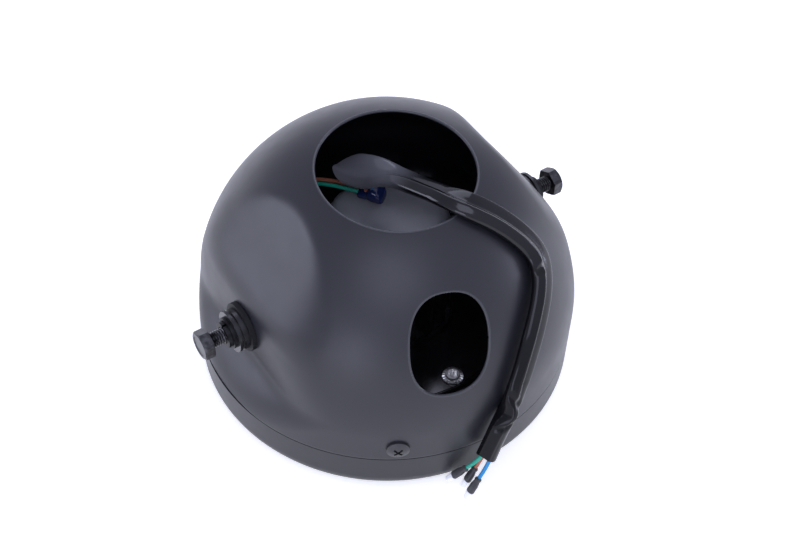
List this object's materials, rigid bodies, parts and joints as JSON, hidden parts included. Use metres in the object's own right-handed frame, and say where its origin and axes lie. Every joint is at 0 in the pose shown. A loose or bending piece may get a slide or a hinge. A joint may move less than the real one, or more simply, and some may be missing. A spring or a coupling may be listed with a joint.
{
  "type": "motorcycle led headlight",
  "caption": "Round motorcycle LED headlight in a black bucket shell with flattened sides, side mounting bolts, a rear wiring hole and loose sleeved wires.",
  "frame": {"origin": "on the optical axis, in the plane of the trim ring's front edge that the lamp lies on", "axes": "+Z along the optical axis to the back of the lamp, X through the two mounting bolts, -Y to six o'clock on the motorcycle"},
  "size_m": [0.2106, 0.2034, 0.1382],
  "materials": {
    "shell_paint": "semi-matt black paint",
    "trim_paint": "semi-matt black paint",
    "screw_black": "black coated",
    "screw_zinc": "zinc plated",
    "bolt_steel": "dark gunmetal",
    "washer_steel": "zinc plated",
    "collar_black": "satin black",
    "rubber": "matt",
    "lens_clear": "clear polycarbonate",
    "unit_black": "glossy black",
    "reflector_bright": "metallised",
    "diode_yellow": "phosphor yellow",
    "board_white": "white solder mask",
    "board_green": "green solder mask",
    "sink_aluminium": "cast, grey",
    "cover_grey": "satin grey",
    "clip_steel": "spring steel",
    "grommet_blue": "dark blue, glossy",
    "sleeve_black": "limp black tubing, semi-gloss",
    "wire_brown": "brown insulation",
    "wire_green": "teal green insulation",
    "wire_blue": "bright blue insulation",
    "boot_grey": "dark grey",
    "terminal_clear": "milky clear cover"
  },
  "bodies": {
    "root": {"bucket_shell": "shell_paint", "trim_ring": "trim_paint", "trim_screws": "screw_black", "trim_nuts": "washer_steel", "mount_bolts": "bolt_steel", "spring_washers": "washer_steel", "flat_washers": "washer_steel", "mount_collars": "collar_black", "rubber_washers": "rubber", "weld_nuts": "washer_steel", "lens_seal": "rubber", "lens": "lens_clear", "unit_housing": "unit_black", "reflector": "reflector_bright", "led_chips": "diode_yellow", "led_board": "board_white", "sink_plate": "sink_aluminium", "heat_sink": "sink_aluminium", "driver_board": "board_green", "unit_screws": "screw_zinc", "rear_cover": "cover_grey", "unit_clips": "clip_steel", "wire_grommet": "grommet_blue", "harness_sleeve": "sleeve_black", "lead_brown": "wire_brown", "lead_green": "wire_green", "wire_brown": "wire_brown", "wire_green": "wire_green", "wire_blue": "wire_blue", "tail_brown": "wire_brown", "tail_green": "wire_green", "tail_blue": "wire_blue", "boot_brown": "boot_grey", "boot_green": "boot_grey", "boot_blue": "boot_grey", "terminal_brown": "terminal_clear", "terminal_green": "terminal_clear", "terminal_blue": "terminal_clear"}
  },
  "joints": []
}
